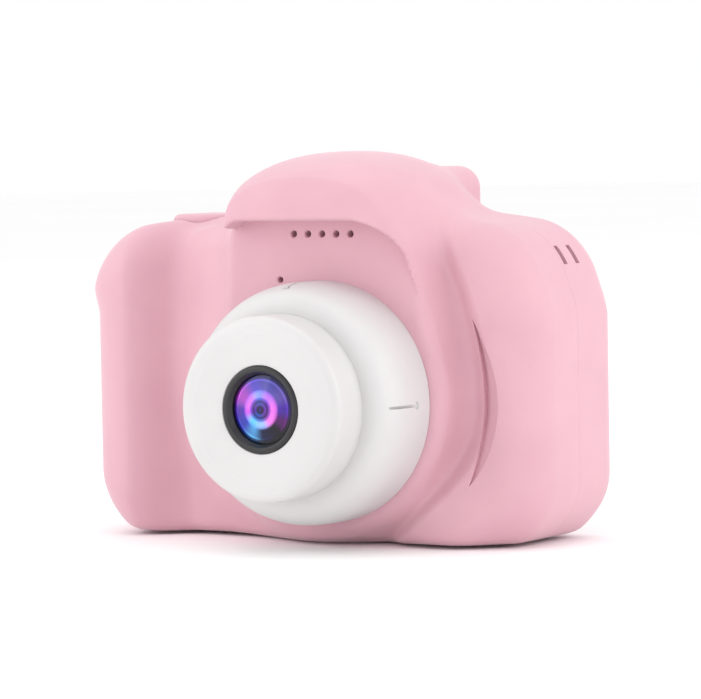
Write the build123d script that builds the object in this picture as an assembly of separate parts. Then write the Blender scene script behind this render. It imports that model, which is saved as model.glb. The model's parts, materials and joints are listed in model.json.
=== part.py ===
from build123d import *
import os
from math import acos, atan2, cos, hypot, radians, sin, tan

# A small point-and-shoot camera for children, in millimetres.
# X runs across the camera (+X to the right when its lens is faced), -Y is the lens side,
# +Z is up, and the origin is on the table, under the middle of the body, at the parting plane.

# ---------------------------------------------------------------- driving dimensions
HALF_WIDTH = 39.6        # half of the body's width
BODY_FRONT = -11.5       # front of the body between the lens block and the grips
BODY_REAR = 13.0         # flat rear face
SHOULDER_TOP = 47.6      # height of the two shoulders
CORNER_RADIUS = 9.0      # body corners, seen from the front
EDGE_RADIUS = 6.0        # body edges, front and rear
WALL = 2.0               # housing wall
GAP = 0.2                # clearance round anything that moves
SNUG = 0.02              # clearance of a screw in its boss

LENS_X = 6.25            # lens axis, across
LENS_Z = 21.2            # lens axis, up
BLOCK_FRONT = -17.0      # flat face that the lens sits on
BLOCK_RADIUS = 20.5      # round lower end of the lens block
BLOCK_TOP = 50.0         # the block's narrow upper end, inside the hump
BLOCK_TOP_HALF = 13.6
HUMP_TOP = 57.3
HOOD_FRONT = -21.5
HOOD_UNDERSIDE = 47.5

BASE_FOOT_RADIUS = 17.6  # white lens base, where it stands on the lens block
BASE_RIM_RADIUS = 16.8
BASE_FRONT = -28.4
BARREL_RADIUS = 13.3     # white lens barrel
BARREL_FRONT = -35.0
TRIM_RADIUS = 6.3        # black ring in the barrel
BORE_RADIUS = 11.1       # hole in the lens base that takes the barrel's neck

EYECUP_LOW = 43.2        # bump round the viewfinder, clear of the screen
EYECUP_TOP = 54.7

SPEAKER_Z = 45.5         # row of sound holes
SOUND_HOLE_PITCH = 2.4
MIC_X = -1.0
MIC_Z = 38.8

SCREEN_X = 6.25          # screen centre
SCREEN_Z = 24.0
SCREEN_WIDTH = 47.0      # clear cover over the screen
SCREEN_HEIGHT = 36.0

PAD_X = -26.9            # centre of the four-way keys
PAD_Z = 22.0
PAD_REACH = 6.4          # from the centre key to each direction key
KEY_RADIUS = 2.3
OK_RADIUS = 2.8
KEY_FLANGE = 0.5         # rim inside the wall that keeps a key in
KEY_PROUD = 0.9          # how far a key stands out of the rear face
KEY_TRAVEL = 0.4

SHUTTER_X = -23.5
SHUTTER_Y = 0.75
SHUTTER_RADIUS = 6.5
SHUTTER_TOP = 48.6
SHUTTER_TRAVEL = 0.6

BOARD_FRONT = 5.4        # main board, front and rear faces
BOARD_REAR = 6.6

COVER_LOW = 9.6          # soft cover over the sockets, on the -X side
COVER_HIGH = 35.2
COVER_REAR = 8.0
COVER_THICKNESS = 1.2
COVER_HINGE_Y = 1.4

SHELL_SCREW_X = 33.5
SHELL_SCREW_Z = (7.5, 40.1)
BOARD_SCREWS = ((-15.5, 41.0), (26.0, 41.0), (26.0, 6.2), (-2.5, 5.5))

STRAP_ANGLE = 33.0       # direction of the strap slots from the corner's centre
STRAP_SLOT_Y = (1.2, 4.8)


# ---------------------------------------------------------------- helpers
def box(x, y, z):
    """A box from its low and high limits along each axis."""
    centre = [(low + high) / 2 for low, high in (x, y, z)]
    return Pos(*centre) * Box(x[1] - x[0], y[1] - y[0], z[1] - z[0])


def along_y(sketch, y_low, y_high):
    """A front-view outline (X, Z), run from y_low to y_high."""
    return extrude(Plane.XZ.offset(-y_high) * sketch, y_high - y_low)


def rod(x, z, radius, y_low, y_high):
    """A round rod along Y."""
    return along_y(Pos(x, z) * Circle(radius), y_low, y_high)


def tube(x, z, outer, inner, y_low, y_high):
    return rod(x, z, outer, y_low, y_high) - rod(x, z, inner, y_low, y_high)


def turned(points):
    """A solid turned about the lens axis, from (radius, y) points."""
    plane = Plane((LENS_X, 0, LENS_Z))
    face = plane * make_face(Polyline(*points, close=True))
    return revolve(face, Axis((LENS_X, 0, LENS_Z), (0, 1, 0)))


def wire(points, radius):
    """An insulated lead along straight runs joined by tangent arcs."""
    runs = [(Vector(*b) - Vector(*a)) for a, b in zip(points, points[1:])]
    radii = []
    for before, after in zip(runs, runs[1:]):
        half_turn = radians(before.get_angle(after)) / 2
        radii.append(0.45 * min(before.length, after.length) / tan(half_turn))
    path = FilletPolyline(*points, radius=radii)
    print("lead radii", [round(value, 2) for value in radii])
    section = Plane(origin=path @ 0, z_dir=path % 0) * Circle(radius)
    return sweep(section, path)


def screw(x, z, head_y, tip_y, shank, head, head_height):
    """A pan-head screw along Y: its shank runs from head_y to tip_y."""
    side = 1 if head_y > tip_y else -1
    low, high = sorted((head_y, tip_y))
    cap_low, cap_high = sorted((head_y, head_y + side * head_height))
    cap = rod(x, z, head, cap_low, cap_high)
    top = cap.faces().sort_by(Axis.Y)[-1 if side > 0 else 0]
    cap = fillet(top.edges(), 0.35 * head_height)
    slot_low, slot_high = sorted((head_y + side * head_height, head_y + side * 0.5 * head_height))
    reach = 0.62 * head
    slots = box((x - reach, x + reach), (slot_low, slot_high), (z - 0.22, z + 0.22))
    slots += box((x - 0.22, x + 0.22), (slot_low, slot_high), (z - reach, z + reach))
    return cap - slots + rod(x, z, shank, low, high)


def rounded_box(x, y, z, radius):
    body = box(x, y, z)
    return fillet(body.edges(), radius)


def write(name, solid):
    export_step(solid, f"parts/{name}.step")


# ---------------------------------------------------------------- housing outline
def body_slab(inset):
    """The wide body with its round corners and soft edges."""
    width = 2 * (HALF_WIDTH - inset)
    height = SHOULDER_TOP - 2 * inset
    outline = Pos(0, SHOULDER_TOP / 2) * RectangleRounded(width, height, CORNER_RADIUS - inset)
    slab = along_y(outline, BODY_FRONT + inset, BODY_REAR - inset)
    faces = slab.faces().sort_by(Axis.Y)
    edges = faces[0].edges() + faces[-1].edges()
    return fillet(edges, EDGE_RADIUS - inset)


def lens_block(inset):
    """The raised block behind the lens: round below, narrower towards the hood."""
    radius = BLOCK_RADIUS - inset
    half_top = BLOCK_TOP_HALF - inset
    rise = BLOCK_TOP - LENS_Z
    reach = hypot(half_top, rise)
    tangent = atan2(rise, half_top) - acos(radius / reach)
    side = (radius * cos(tangent), radius * sin(tangent))
    outline = make_face([
        Line((-half_top, rise), (half_top, rise)),
        Line((half_top, rise), side),
        ThreePointArc(side, (0, -radius), (-side[0], side[1])),
        Line((-side[0], side[1]), (-half_top, rise)),
    ])
    block = along_y(Pos(LENS_X, LENS_Z) * outline, BLOCK_FRONT + inset, 0)
    front = block.faces().sort_by(Axis.Y)[0]
    return fillet(front.edges(), max(2.4 - inset, 0.4))


def hump(inset):
    """The dome over the lens block."""
    right = [(20.5, 44.0), (20.5, 49.0), (16.8, 53.6), (8.0, HUMP_TOP)]
    middle = 5.5
    points = []
    for reach, height in right:
        reach -= inset
        points.append((middle + reach, height - (inset if height > 44.0 else 0)))
    for reach, height in reversed(right):
        reach -= inset
        points.append((middle - reach, height - (inset if height > 44.0 else 0)))
    outline = make_face(Polyline(*points, close=True))
    upper = [vertex for vertex in outline.vertices() if vertex.Y > 45.0]
    outline = fillet(upper, 4.0)
    dome = along_y(outline, BLOCK_FRONT + inset, 9.0 - inset)
    faces = dome.faces().sort_by(Axis.Y)
    rims = [edge for edge in faces[0].edges() + faces[-1].edges() if edge.center().Z > 44.5]
    return fillet(rims, 3.0 - inset)


def hood(inset):
    """The visor over the sound holes."""
    half = 14.8 - inset
    x = (LENS_X - half, LENS_X + half)
    y = (HOOD_FRONT + inset, -8.0)
    z = (HOOD_UNDERSIDE + inset, 54.4 - inset)
    return rounded_box(x, y, z, max(2.6 - inset, 0.4))


def eyecup(inset):
    """The viewfinder bump at the back of the hump."""
    x = (-5.0 + inset, 15.5 - inset)
    y = (2.0, 16.0 - inset)
    z = (EYECUP_LOW + inset, EYECUP_TOP - inset)
    return rounded_box(x, y, z, 3.4 - inset)


def grips(inset):
    """The two upright ridges that the fingers hold, left fuller than right."""
    ridges = []
    for low_x, high_x, front in ((-37.0, -22.5, -15.0), (29.5, 38.4, -13.4)):
        x = (low_x + inset, high_x - inset)
        z = (3.5 + inset, 44.0 - inset)
        ridges.append(rounded_box(x, (front + inset, 4.0), z, 3.6 - inset))
    return ridges[0] + ridges[1]


def body_form(inset):
    """The whole housing outline, with every part of it set in by the same amount."""
    form = body_slab(inset) + lens_block(inset) + hump(inset)
    return form + hood(inset) + eyecup(inset) + grips(inset)


# ---------------------------------------------------------------- cut-outs in the housing
def shell_screw_places():
    return [(side * SHELL_SCREW_X, z) for side in (-1, 1) for z in SHELL_SCREW_Z]


def lens_screw_places():
    places = []
    for angle in (90, 210, 330):
        x = LENS_X + 13.2 * cos(radians(angle))
        z = LENS_Z + 13.2 * sin(radians(angle))
        places.append((x, z))
    return places


def camera_screw_places():
    return [(LENS_X - 10.0, LENS_Z), (LENS_X + 10.0, LENS_Z)]


def shutter_hole():
    place = Pos(SHUTTER_X, SHUTTER_Y, (SHOULDER_TOP + 44.0) / 2 + 1)
    return place * Cylinder(SHUTTER_RADIUS + GAP, SHOULDER_TOP - 42.0)


def strap_frame(y):
    """A plane at the upper right corner, X outwards through the corner, at depth y."""
    centre = (HALF_WIDTH - CORNER_RADIUS, y, SHOULDER_TOP - CORNER_RADIUS)
    outwards = (cos(radians(STRAP_ANGLE)), 0, sin(radians(STRAP_ANGLE)))
    return Plane(origin=centre, x_dir=outwards, z_dir=(0, -1, 0))


def strap_lump():
    """The solid corner that the strap slots are cut in."""
    middle = sum(STRAP_SLOT_Y) / 2
    return strap_frame(middle) * Pos(6.6, 0, 0) * Box(3.8, 6.6, 8.4 - 2.4)


def strap_slots():
    """Two slots and the tunnel that joins them behind the strap bar."""
    tunnel_y = sum(STRAP_SLOT_Y) / 2
    length = STRAP_SLOT_Y[1] - STRAP_SLOT_Y[0]
    tunnel = strap_frame(tunnel_y) * Pos(6.5, 0, 0) * Box(1.4, 3.4, length)
    slots = tunnel
    for y in STRAP_SLOT_Y:
        slots += strap_frame(y) * Pos(8.2, 0, 0) * Box(4.8, 3.4, 1.4)
    return slots


def key_places():
    """Each rear key: its name, centre and radius."""
    return {
        "up_key": (PAD_X, PAD_Z + PAD_REACH, KEY_RADIUS),
        "down_key": (PAD_X, PAD_Z - PAD_REACH, KEY_RADIUS),
        "left_key": (PAD_X + PAD_REACH, PAD_Z, KEY_RADIUS),
        "right_key": (PAD_X - PAD_REACH, PAD_Z, KEY_RADIUS),
        "ok_key": (PAD_X, PAD_Z, OK_RADIUS),
        "menu_key": (PAD_X, PAD_Z + 14.6, KEY_RADIUS),
        "power_key": (PAD_X, PAD_Z - 13.4, KEY_RADIUS),
    }


LIGHT_X = PAD_X + 7.2
LIGHT_Z = PAD_Z + 14.6
CARD_Z = (11.0, 23.0)
RESET_Z = (23.4, 25.4)
USB_Z = (25.8, 33.8)
RECESS_FLOOR = -HALF_WIDTH + COVER_THICKNESS + 0.1


def port_recess():
    """The shallow pocket that the socket cover closes into."""
    y = (COVER_HINGE_Y - COVER_THICKNESS / 2 - GAP, COVER_REAR + GAP)
    z = (COVER_LOW - GAP, COVER_HIGH + GAP)
    pocket = box((-HALF_WIDTH - 2, RECESS_FLOOR), y, z)
    trunnion = (-HALF_WIDTH + COVER_THICKNESS / 2, COVER_HINGE_Y, (COVER_LOW + COVER_HIGH) / 2)
    sockets = Pos(*trunnion) * Cylinder(0.4 + 0.05, COVER_HIGH - COVER_LOW + 2.2)
    return pocket + sockets


def port_holes():
    """Mouths of the USB socket, the card slot and the reset switch."""
    x = (-HALF_WIDTH - 1, -HALF_WIDTH + 3)
    usb = box(x, (2.4, 5.6), (USB_Z[0] - 0.2, USB_Z[1] + 0.2))
    card = box(x, (3.7, 5.2), (CARD_Z[0] + 0.2, CARD_Z[1] - 0.2))
    reset = Pos(-HALF_WIDTH, 4.5, sum(RESET_Z) / 2) * Rot(0, 90, 0) * Cylinder(0.5, 6)
    return usb + card + reset


# ---------------------------------------------------------------- housing
def front_shell():
    shell = body_form(0) - body_form(WALL)
    shell &= box((-60, 60), (-60, 0), (-5, 80))
    inner = body_form(0.6) & box((-60, 60), (-60, 0), (-5, 80))
    ribs = tube(LENS_X, SPEAKER_Z + 1.0, 8.0, 7.2 + GAP, BLOCK_FRONT + 0.6, -12.0)
    for x, z in shell_screw_places():
        ribs += rod(x, z, 2.6, BODY_FRONT - 3, 0)
    for x, z in camera_screw_places():
        ribs += rod(x, z, 2.0, BLOCK_FRONT + 0.6, -11.2)
    ribs += box((-29.5, -18.0), (BODY_FRONT + 0.6, -2.0), (35.3, 36.5))
    shell += ribs & inner
    for x, z in BOARD_SCREWS:
        root = -10.6 if abs(x) > 10 else BLOCK_FRONT + 0.6
        shell += rod(x, z, 2.2, root, 0)
        shell += rod(x, z, 2.2, 0, BOARD_FRONT)
    for x, z in BOARD_SCREWS:
        shell -= rod(x, z, 0.8 + SNUG, -1.0, BOARD_FRONT)
    for x, z in shell_screw_places():
        shell -= rod(x, z, 1.0 + SNUG, -7.5, 0)
    for x, z in camera_screw_places():
        shell -= rod(x, z, 0.8 + SNUG, -14.8, -11.2)
    for x, z in lens_screw_places():
        shell -= rod(x, z, 1.0, BLOCK_FRONT - 1, BLOCK_FRONT + WALL + 1)
    shell -= rod(LENS_X, LENS_Z, 8.4, BLOCK_FRONT - 1, BLOCK_FRONT + WALL + 1)
    through = (BLOCK_FRONT - 1, BLOCK_FRONT + WALL + 1)
    for step in range(-2, 3):
        shell -= rod(LENS_X + step * SOUND_HOLE_PITCH, SPEAKER_Z, 0.5, *through)
    shell -= rod(MIC_X, MIC_Z, 0.45, *through)
    return shell - shutter_hole()


def rear_shell():
    shell = body_form(0) - body_form(WALL)
    shell &= box((-60, 60), (0, 60), (-5, 80))
    inner = body_form(0.6) & box((-60, 60), (0, 60), (-5, 80))
    posts = strap_lump()
    for x, z in shell_screw_places():
        posts += rod(x, z, 2.6, 0, BODY_REAR - 1)
    shell += posts & inner
    for x, z in shell_screw_places():
        shell -= rod(x, z, 1.15, -1, BODY_REAR)
        shell -= rod(x, z, 2.1, 9.2, BODY_REAR + 1)
    recess = Pos(SCREEN_X, SCREEN_Z) * RectangleRounded(SCREEN_WIDTH + 0.2, SCREEN_HEIGHT + 0.2, 2.6)
    shell -= along_y(recess, BODY_REAR - 1.1, BODY_REAR + 1)
    shell -= along_y(Pos(SCREEN_X, SCREEN_Z) * RectangleRounded(43.2, 33.2, 1.0), 8, BODY_REAR + 1)
    for x, z, radius in key_places().values():
        shell -= rod(x, z, radius + GAP, 8, BODY_REAR + 1)
        shell -= rod(x, z, radius + KEY_FLANGE + GAP, 6, BODY_REAR - WALL)
    shell -= rod(LIGHT_X, LIGHT_Z, 0.9 + SNUG, 8, BODY_REAR + 1)
    shell -= strap_slots()
    shell -= port_recess()
    shell -= port_holes()
    pocket = RectangleRounded(13.0, 5.4, 2.0)
    shell -= along_y(Pos(5.25, 50.0) * pocket, 14.8, 17.0)
    return shell - shutter_hole()


def shell_screws():
    group = [screw(x, z, 9.2, -7.0, 1.0, 1.9, 1.4) for x, z in shell_screw_places()]
    return Compound(children=group)


# ---------------------------------------------------------------- lens
def lens_base():
    """The thick white disc: a cup, open behind, with three screw posts inside."""
    cup = turned([
        (BASE_FOOT_RADIUS, BLOCK_FRONT), (BASE_RIM_RADIUS, BASE_FRONT + 2.2),
        (BASE_RIM_RADIUS - 0.5, BASE_FRONT + 1.2), (BASE_RIM_RADIUS - 1.4, BASE_FRONT + 0.7),
        (BARREL_RADIUS, BASE_FRONT), (BORE_RADIUS, BASE_FRONT), (BORE_RADIUS, BASE_FRONT + 2.0),
        (BASE_RIM_RADIUS - 2.2, BASE_FRONT + 3.0), (BASE_FOOT_RADIUS - 2.0, BLOCK_FRONT),
    ])
    for x, z in lens_screw_places():
        post = rod(x, z, 1.9, BASE_FRONT + 1.6, BLOCK_FRONT)
        cup += post
        cup -= rod(x, z, 0.8 + SNUG, BLOCK_FRONT - 6, BLOCK_FRONT)
    return cup


def lens_barrel():
    """The white barrel with its rounded lip and dished front, on a neck that goes into the base."""
    return turned([
        (BARREL_RADIUS, BASE_FRONT), (BARREL_RADIUS, BARREL_FRONT + 2.4),
        (BARREL_RADIUS - 0.4, BARREL_FRONT + 1.1),
        (BARREL_RADIUS - 1.3, BARREL_FRONT + 0.3), (BARREL_RADIUS - 2.6, BARREL_FRONT),
        (TRIM_RADIUS + 1.2, BARREL_FRONT + 0.35), (TRIM_RADIUS + SNUG, BARREL_FRONT + 0.5),
        (TRIM_RADIUS + SNUG, -30.2), (TRIM_RADIUS + 0.9, -30.2), (TRIM_RADIUS + 0.9, -22.0),
        (BORE_RADIUS - SNUG, -22.0), (BORE_RADIUS - SNUG, BASE_FRONT),
    ])


def lens_trim_ring():
    """The black ring: a short sleeve with a ledge for the window."""
    front = BARREL_FRONT + 0.3
    return turned([
        (TRIM_RADIUS, -30.2), (TRIM_RADIUS, front + 0.3), (TRIM_RADIUS - 0.3, front),
        (5.3, front), (4.95, front + 0.4), (4.95, -32.6), (4.3, -32.6), (4.3, -30.2),
    ])


def lens_window():
    return rod(LENS_X, LENS_Z, 4.9, -33.4, -32.6)


def lens_holder():
    """The black tube that carries the glass, on a square foot over the sensor."""
    holder = turned([
        (6.2, -30.1), (6.2, -14.2), (4.0, -14.2), (4.0, -19.8), (3.4, -19.8), (3.4, -26.4),
        (4.1, -26.4), (4.1, -30.1),
    ])
    foot = box((LENS_X - 7, LENS_X + 7), (-14.2, -11.2), (LENS_Z - 7, LENS_Z + 7))
    foot -= box((LENS_X - 5, LENS_X + 5), (-14.2, -11.2), (LENS_Z - 5, LENS_Z + 5))
    bridge = tube(LENS_X, LENS_Z, 7.2, 4.0, -15.0, -14.2)
    return holder + bridge + foot


def front_element():
    """The outer glass lens, domed towards the front."""
    return turned([
        (0, -29.9), (1.6, -29.7), (3.0, -29.2), (4.05, -28.3), (4.05, -27.3), (0, -27.3),
    ])


def aperture_ring():
    return tube(LENS_X, LENS_Z, 4.05, 1.6, -27.2, -26.5)


def rear_element():
    return turned([(0, -19.4), (2.2, -19.2), (3.9, -18.4), (3.9, -17.2), (0, -17.2)])


def image_sensor():
    return box((LENS_X - 3.4, LENS_X + 3.4), (-12.2, -11.2), (LENS_Z - 3.2, LENS_Z + 3.2))


def camera_board():
    board = box((LENS_X - 12.4, LENS_X + 12.4), (-11.2, -10.2), (LENS_Z - 3.2, LENS_Z + 3.2))
    board += box((LENS_X - 7.2, LENS_X + 7.2), (-11.2, -10.2), (LENS_Z - 7.2, LENS_Z + 7.2))
    for x, z in camera_screw_places():
        board -= rod(x, z, 0.95, -12, -10)
    return board


def camera_screws():
    group = [screw(x, z, -10.2, -14.5, 0.8, 1.5, 0.9) for x, z in camera_screw_places()]
    return Compound(children=group)


def lens_screws():
    head_y = BLOCK_FRONT + WALL
    group = [screw(x, z, head_y, BLOCK_FRONT - 5, 0.8, 1.5, 0.9) for x, z in lens_screw_places()]
    return Compound(children=group)


def camera_flex():
    """The ribbon from the camera board to the main board, with a plug at its end."""
    x = (LENS_X - 4, LENS_X + 4)
    top = LENS_Z + 6.8
    ribbon = box(x, (-10.2, -9.9), (LENS_Z + 3.6, top))
    ribbon += box(x, (-10.2, 3.9), (top, top + 0.3))
    ribbon += box(x, (3.6, 3.9), (top, top + 3.4))
    plug = box((x[0] - 0.6, x[1] + 0.6), (3.9, BOARD_FRONT), (top + 0.4, top + 3.4))
    return ribbon + plug


# ---------------------------------------------------------------- sound
def speaker():
    x, z = LENS_X, SPEAKER_Z + 1.0
    basket = rod(x, z, 7.2, -14.4, -12.6)
    magnet = rod(x, z, 4.4, -12.6, -11.0)
    cone_recess = turned_cone(x, z)
    return basket + magnet - cone_recess


def turned_cone(x, z):
    """The dish of the loudspeaker cone."""
    return Pos(x, -14.4 + 0.4, z) * Rot(90, 0, 0) * Cone(3.0, 6.0, 0.8)


def speaker_gasket():
    return tube(LENS_X, SPEAKER_Z + 1.0, 7.2, 6.0, -15.0, -14.4)


def speaker_leads():
    group = []
    for x in (LENS_X - 2.0, LENS_X + 2.0):
        points = [(x, -11.0, SPEAKER_Z + 1.0), (x, -3.6, SPEAKER_Z + 1.0), (x, BOARD_FRONT, 41.4)]
        group.append(wire(points, 0.45))
    return Compound(children=group)


def microphone():
    return rod(MIC_X, MIC_Z, 2.0, -14.6, -13.1)


def mic_boot():
    """The rubber cup between the microphone and the front wall, open to the sound hole."""
    cup = rod(MIC_X, MIC_Z, 2.4, -15.0, -13.1)
    cup -= rod(MIC_X, MIC_Z, 2.0 + SNUG, -14.6, -13.0)
    return cup - rod(MIC_X, MIC_Z, 0.45, -15.5, -14.0)


def mic_leads():
    group = []
    for x in (MIC_X - 0.8, MIC_X + 0.8):
        points = [(x, -13.1, MIC_Z), (x, -5.0, MIC_Z + 1.2), (x, BOARD_FRONT, MIC_Z - 0.6)]
        group.append(wire(points, 0.35))
    return Compound(children=group)


# ---------------------------------------------------------------- boards and power
def main_board():
    board = box((-36.8, 28.6), (BOARD_FRONT, BOARD_REAR), (3.4, 43.4))
    board -= box((-37, -30.8), (BOARD_FRONT, BOARD_REAR), (3.0, 10.4))
    board -= box((-37, -30.8), (BOARD_FRONT, BOARD_REAR), (37.2, 44.0))
    for x, z in BOARD_SCREWS:
        board -= rod(x, z, 0.95, BOARD_FRONT - 1, BOARD_REAR + 1)
    return board


def board_screws():
    group = [screw(x, z, BOARD_REAR, -0.8, 0.8, 1.5, 0.7) for x, z in BOARD_SCREWS]
    return Compound(children=group)


def main_chip():
    return box((14.0, 24.0), (BOARD_FRONT - 1.2, BOARD_FRONT), (18.0, 28.0))


def memory_chip():
    return box((15.0, 23.0), (BOARD_FRONT - 1.0, BOARD_FRONT), (9.6, 15.6))


def battery():
    """The flat lithium cell, with the folded seam at its top."""
    cell = rounded_box((-30.0, -6.5), (-7.6, -1.8), (3.0, 33.6), 0.9)
    seam = box((-29.0, -7.5), (-5.6, -3.8), (33.6, 34.8))
    return cell + seam


def battery_leads():
    group = []
    for x in (-11.6, -9.8):
        points = [(x, -4.7, 34.8), (x, -4.7, 38.9), (x, BOARD_FRONT - 2.2, 38.9)]
        group.append(wire(points, 0.45))
    return Compound(children=group)


def battery_connector():
    return box((-13.0, -8.4), (BOARD_FRONT - 2.2, BOARD_FRONT), (37.4, 40.6))


def shutter_board():
    return box((-29.0, -18.4), (-5.0, BOARD_FRONT), (36.5, 37.5))


def shutter_switch():
    body = box((SHUTTER_X - 3, SHUTTER_X + 3), (SHUTTER_Y - 3, SHUTTER_Y + 3), (37.5, 40.6))
    return body + Pos(SHUTTER_X, SHUTTER_Y, 40.95) * Cylinder(1.7, 0.7)


def key_switches():
    """One push switch behind each rear key."""
    group = []
    for x, z, _ in key_places().values():
        body = box((x - 2.2, x + 2.2), (BOARD_REAR, 9.0), (z - 2.2, z + 2.2))
        group.append(body + rod(x, z, 1.3, 9.0, 9.55))
    return Compound(children=group)


def usb_socket():
    x = (-37.9, -32.3)
    shell = box(x, (2.7, BOARD_FRONT), USB_Z)
    mouth = box((x[0] - 1, x[1] - 0.6), (3.0, 5.1), (USB_Z[0] + 0.35, USB_Z[1] - 0.35))
    tongue = box((x[0] + 0.7, x[1] - 0.5), (4.2, 4.7), (USB_Z[0] + 1.7, USB_Z[1] - 1.7))
    return shell - mouth + tongue


def card_socket():
    x = (-37.5, -23.6)
    shell = box(x, (3.5, BOARD_FRONT), CARD_Z)
    return shell - box((x[0] - 1, x[1] - 0.8), (4.0, 4.9), (CARD_Z[0] + 0.5, CARD_Z[1] - 0.5))


def reset_switch():
    body = box((-37.2, -34.2), (3.7, BOARD_FRONT), RESET_Z)
    return body + Pos(-37.4, 4.5, sum(RESET_Z) / 2) * Rot(0, 90, 0) * Cylinder(0.4, 0.6)


def charge_led():
    return box((LIGHT_X - 0.9, LIGHT_X + 0.9), (BOARD_REAR, 7.5), (LIGHT_Z - 0.6, LIGHT_Z + 0.6))


def light_pipe():
    """The clear plug that carries the charge light to the rear face."""
    pipe = rod(LIGHT_X, LIGHT_Z, 0.9, 7.7, BODY_REAR + 0.2)
    return pipe + rod(LIGHT_X, LIGHT_Z, 1.4, 10.2, BODY_REAR - WALL)


# ---------------------------------------------------------------- screen
def lcd_window():
    plate = Pos(SCREEN_X, SCREEN_Z) * RectangleRounded(SCREEN_WIDTH, SCREEN_HEIGHT, 2.5)
    return along_y(plate, BODY_REAR - 1.1, BODY_REAR - 0.1)


def lcd_panel():
    x = (SCREEN_X - 23.4, SCREEN_X + 23.4)
    z = (SCREEN_Z - 17.8, SCREEN_Z + 17.8)
    return box(x, (8.7, BODY_REAR - WALL - 0.1), z)


def lcd_bracket():
    """The plastic tray that holds the screen off the main board."""
    x = (SCREEN_X - 23.4, SCREEN_X + 23.4)
    z = (SCREEN_Z - 17.8, SCREEN_Z + 17.8)
    tray = box(x, (7.6, 8.7), z) - box((x[0] + 5, x[1] - 5), (7, 9), (z[0] + 5, z[1] - 5))
    for foot_x in (x[0] + 3, x[1] - 5.5):
        for foot_z in (z[0] + 2.6, z[1] - 4.2):
            tray += rod(foot_x, foot_z, 1.3, BOARD_REAR, 7.6)
    return tray


def lcd_flex():
    """The ribbon that folds from the screen's lower edge to the main board."""
    x = (SCREEN_X - 6, SCREEN_X + 6)
    low = SCREEN_Z - 17.8
    drop = box(x, (9.2, 9.5), (low - 1.6, low))
    return drop + box(x, (BOARD_REAR, 9.5), (low - 1.9, low - 1.6))


# ---------------------------------------------------------------- what moves
def shutter_button():
    place = Pos(SHUTTER_X, SHUTTER_Y, 0)
    cap = place * Pos(0, 0, (SHUTTER_TOP + 44.5) / 2) * Cylinder(SHUTTER_RADIUS, SHUTTER_TOP - 44.5)
    cap = fillet(cap.faces().sort_by(Axis.Z)[-1].edges(), 0.8)
    cap += place * Pos(0, 0, 44.95) * Cylinder(SHUTTER_RADIUS + 0.7, 0.9)
    foot = 41.3 + SHUTTER_TRAVEL + 0.05
    return cap + place * Pos(0, 0, (foot + 44.6) / 2) * Cylinder(1.6, 44.6 - foot)


def rear_key(x, z, radius):
    top = BODY_REAR + KEY_PROUD
    cap = rod(x, z, radius, 10.0, top)
    cap = fillet(cap.faces().sort_by(Axis.Y)[-1].edges(), 0.5)
    return cap + rod(x, z, radius + KEY_FLANGE, 10.0, 10.85)


def port_cover():
    """The soft flap, with a round hinge edge and a stub at each end of it."""
    x = (-HALF_WIDTH, -HALF_WIDTH + COVER_THICKNESS)
    flap = box(x, (COVER_HINGE_Y, COVER_REAR), (COVER_LOW, COVER_HIGH))
    free_edges = flap.edges().filter_by(Axis.X).group_by(Axis.Y)[-1]
    flap = fillet(free_edges, 1.6)
    hinge = (-HALF_WIDTH + COVER_THICKNESS / 2, COVER_HINGE_Y, (COVER_LOW + COVER_HIGH) / 2)
    flap += Pos(*hinge) * Cylinder(COVER_THICKNESS / 2, COVER_HIGH - COVER_LOW)
    flap += Pos(*hinge) * Cylinder(0.4, COVER_HIGH - COVER_LOW + 2.0)
    notch = (-HALF_WIDTH, COVER_REAR - 0.1, (COVER_LOW + COVER_HIGH) / 2)
    return flap - Pos(*notch) * Cylinder(0.7, 5.0)


# ---------------------------------------------------------------- write every node
os.makedirs("parts", exist_ok=True)

NODES = [
    front_shell, rear_shell, shell_screws, lens_base, lens_barrel, lens_trim_ring, lens_window,
    lens_holder, front_element, aperture_ring, rear_element, image_sensor, camera_board,
    camera_screws, lens_screws, camera_flex, speaker, speaker_gasket, speaker_leads, microphone,
    mic_boot, mic_leads, main_board, board_screws, main_chip, memory_chip, battery,
    battery_leads, battery_connector, shutter_board, shutter_switch, key_switches, usb_socket,
    card_socket, reset_switch, charge_led, light_pipe, lcd_window, lcd_panel, lcd_bracket,
    lcd_flex, shutter_button, port_cover,
]
for make in NODES:
    write(make.__name__, make())
for name, (x, z, radius) in key_places().items():
    write(name, rear_key(x, z, radius))
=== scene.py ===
"""Looks for the children's camera: a soft pink body, a thick white lens and white rear keys."""

import json
import math

import bmesh
import bpy
import numpy as np
from mathutils import Matrix, Vector


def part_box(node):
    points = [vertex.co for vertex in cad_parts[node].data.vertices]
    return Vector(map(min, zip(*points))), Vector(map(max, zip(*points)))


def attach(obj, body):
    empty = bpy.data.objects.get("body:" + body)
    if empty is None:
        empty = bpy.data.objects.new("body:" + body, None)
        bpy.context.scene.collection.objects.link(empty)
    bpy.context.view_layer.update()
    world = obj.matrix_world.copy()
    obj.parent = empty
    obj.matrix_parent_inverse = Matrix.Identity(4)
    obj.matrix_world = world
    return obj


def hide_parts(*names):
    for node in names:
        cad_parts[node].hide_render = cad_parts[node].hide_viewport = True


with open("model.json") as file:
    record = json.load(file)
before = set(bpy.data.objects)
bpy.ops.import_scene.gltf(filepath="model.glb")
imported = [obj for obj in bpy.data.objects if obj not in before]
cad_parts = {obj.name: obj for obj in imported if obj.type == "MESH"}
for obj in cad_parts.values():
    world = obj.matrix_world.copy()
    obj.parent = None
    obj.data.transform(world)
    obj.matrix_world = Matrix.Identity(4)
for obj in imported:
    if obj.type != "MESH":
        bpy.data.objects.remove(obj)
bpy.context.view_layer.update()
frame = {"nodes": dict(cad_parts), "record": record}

MM = 0.001
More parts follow.
